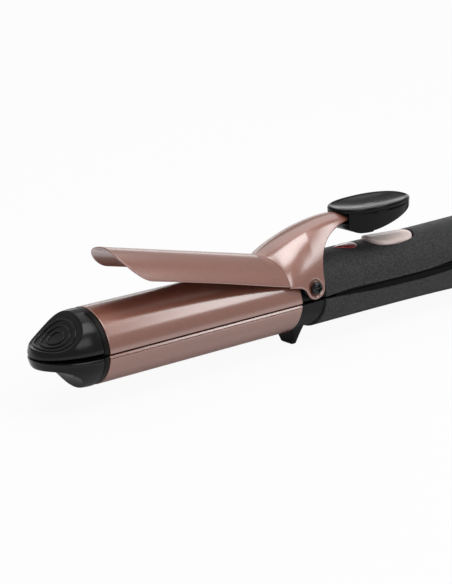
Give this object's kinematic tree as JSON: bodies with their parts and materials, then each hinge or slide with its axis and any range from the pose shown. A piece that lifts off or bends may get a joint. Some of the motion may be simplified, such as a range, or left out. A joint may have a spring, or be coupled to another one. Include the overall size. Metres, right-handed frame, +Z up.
{
  "type": "hair styling iron",
  "caption": "Two-in-one hair styling iron: a split heated barrel on two hinged arms, with a sprung curling clip, a thumb lever and a rocker switch.",
  "frame": {"origin": "centre of the stand foot's flat underside", "axes": "+X towards the handle's rear end, +Z up from the table, +Y across the iron"},
  "size_m": [0.2897, 0.0386, 0.0576],
  "materials": {
    "rose_coat": "rose-gold ceramic coat, satin",
    "rose_sheet": "rose-gold coated sheet, satin",
    "rose_casting": "rose-gold coated casting, gloss",
    "charcoal_shell": "charcoal with fine speckle",
    "gloss_black": "black, polished",
    "satin_black": "black, satin",
    "ceramic": "ceramic heating strip",
    "extrusion": "mill finish",
    "lead_wire": "wire",
    "steel": "plain steel",
    "black_screw": "black oxide",
    "red_lens": "red translucent plastic",
    "lamp": "clear lamp",
    "board": "solder mask",
    "switch_plastic": "moulded",
    "pale_rose": "pale rose, gloss"
  },
  "bodies": {
    "lower_arm": {"lower_barrel": "rose_coat", "lower_plate": "rose_coat", "lower_heater": "ceramic", "lower_spreader": "extrusion", "lower_nose_ring": "satin_black", "lower_nose": "gloss_black", "lower_collar": "satin_black", "lower_handle": "charcoal_shell", "lower_liner": "satin_black", "lower_screws": "black_screw", "lower_leads": "lead_wire", "terminal_block": "switch_plastic", "hinge_pin": "steel", "arm_spring": "steel"},
    "upper_arm": {"upper_barrel": "rose_coat", "upper_plate": "rose_coat", "upper_heater": "ceramic", "upper_spreader": "extrusion", "upper_nose_ring": "satin_black", "upper_nose": "gloss_black", "upper_collar": "satin_black", "upper_handle": "charcoal_shell", "upper_liner": "satin_black", "upper_screws": "black_screw", "upper_leads": "lead_wire", "indicator_lens": "red_lens", "indicator_led": "lamp", "circuit_board": "board", "switch_body": "switch_plastic", "rocker_pin": "steel", "thermal_fuse": "steel", "clip_springs": "steel", "pivot_screws": "black_screw"},
    "clip": {"clip_blade": "rose_sheet", "clip_lever": "rose_casting", "thumb_pad": "gloss_black", "thumb_pad_screw": "black_screw"},
    "rocker": {"rocker_button": "pale_rose"},
    "lock": {"lock_slider": "charcoal_shell"},
    "swivel": {"cord_swivel": "charcoal_shell"}
  },
  "joints": [
    {"name": "arm_hinge", "type": "hinge", "parent": "lower_arm", "child": "upper_arm", "pos_m": [0.14415, 0, 0.027], "axis": [0, 1, 0], "range_deg": [0, 10], "deforming": ["arm_spring"]},
    {"name": "clip_pivot", "type": "hinge", "parent": "upper_arm", "child": "clip", "pos_m": [0.00035, 0, 0.0269], "axis": [0, 1, 0], "range_deg": [-12.5, 3], "stiffness_Nm_per_rad": 0.2, "springref_deg": -22.92},
    {"name": "rocker_tilt", "type": "hinge", "parent": "upper_arm", "child": "rocker", "pos_m": [0.05655, 0, 0.0326], "axis": [0, 1, 0], "range_deg": [-7, 0]},
    {"name": "lock_slide", "type": "slide", "parent": "lower_arm", "child": "lock", "axis": [-1, 0, 0], "range_m": [0, 0.004]},
    {"name": "cord_swivel_turn", "type": "hinge", "parent": "lower_arm", "child": "swivel", "pos_m": [0.15815, 0, 0.021], "axis": [1, 0, 0], "continuous": true}
  ]
}
